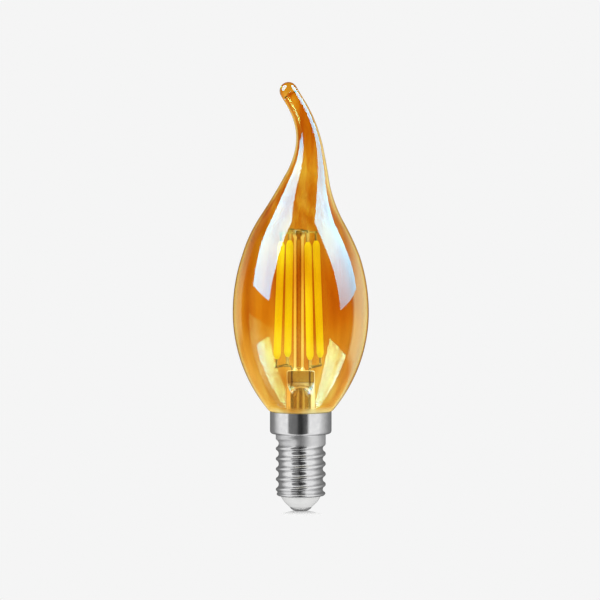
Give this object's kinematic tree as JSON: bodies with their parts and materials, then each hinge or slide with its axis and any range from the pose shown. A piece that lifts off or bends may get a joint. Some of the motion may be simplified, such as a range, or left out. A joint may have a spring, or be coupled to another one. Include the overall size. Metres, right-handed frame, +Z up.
{
  "type": "led filament bulb",
  "caption": "Flame-tip candle lamp: amber blown glass with a bent tail, upright LED filaments on a glass stem, and a small nickel Edison screw cap.",
  "frame": {"origin": "middle of the centre contact's underside, on the cap's axis", "axes": "+Z up the cap's axis from the contact to the glass tip; the tail bends in the XZ plane, first towards +X and then over to -X at the tip; +Y is away from the picture's viewer"},
  "size_m": [0.0376, 0.0375, 0.1183],
  "materials": {
    "amber_glass": "clear amber blown glass, glossy",
    "stem_glass": "clear drawn glass, glossy",
    "nickel_shell": "bright nickel plate on drawn and rolled sheet",
    "phosphor": "yellow phosphor silicone, satin",
    "strip": "white ceramic strip",
    "lead_metal": "bright drawn wire",
    "white_insulator": "milky white moulding, gloss",
    "contact_metal": "tinned contact",
    "cement": "basing cement, matt",
    "board": "glass-fibre board, satin",
    "package": "moulded package, matt",
    "can": "sleeved can",
    "resistor": "lacquered resistor"
  },
  "bodies": {
    "root": {"glass_envelope": "amber_glass", "stem_flare": "stem_glass", "exhaust_tube": "stem_glass", "support_post": "stem_glass", "lead_wire_left": "lead_metal", "lead_wire_right": "lead_metal", "lower_arm_left": "lead_metal", "lower_arm_right": "lead_metal", "crown_wire_lower": "lead_metal", "crown_wire_upper": "lead_metal", "screw_shell": "nickel_shell", "base_insulator": "white_insulator", "centre_contact": "contact_metal", "basing_cement": "cement", "driver_board": "board", "bridge_rectifier": "package", "driver_ic": "package", "smoothing_capacitor": "can", "fuse_resistor": "resistor", "shell_wire": "lead_metal", "filament_coating_1": "phosphor", "filament_strip_1": "strip", "filament_tabs_1": "lead_metal", "filament_coating_2": "phosphor", "filament_strip_2": "strip", "filament_tabs_2": "lead_metal", "filament_coating_3": "phosphor", "filament_strip_3": "strip", "filament_tabs_3": "lead_metal", "filament_coating_4": "phosphor", "filament_strip_4": "strip", "filament_tabs_4": "lead_metal"}
  },
  "joints": []
}
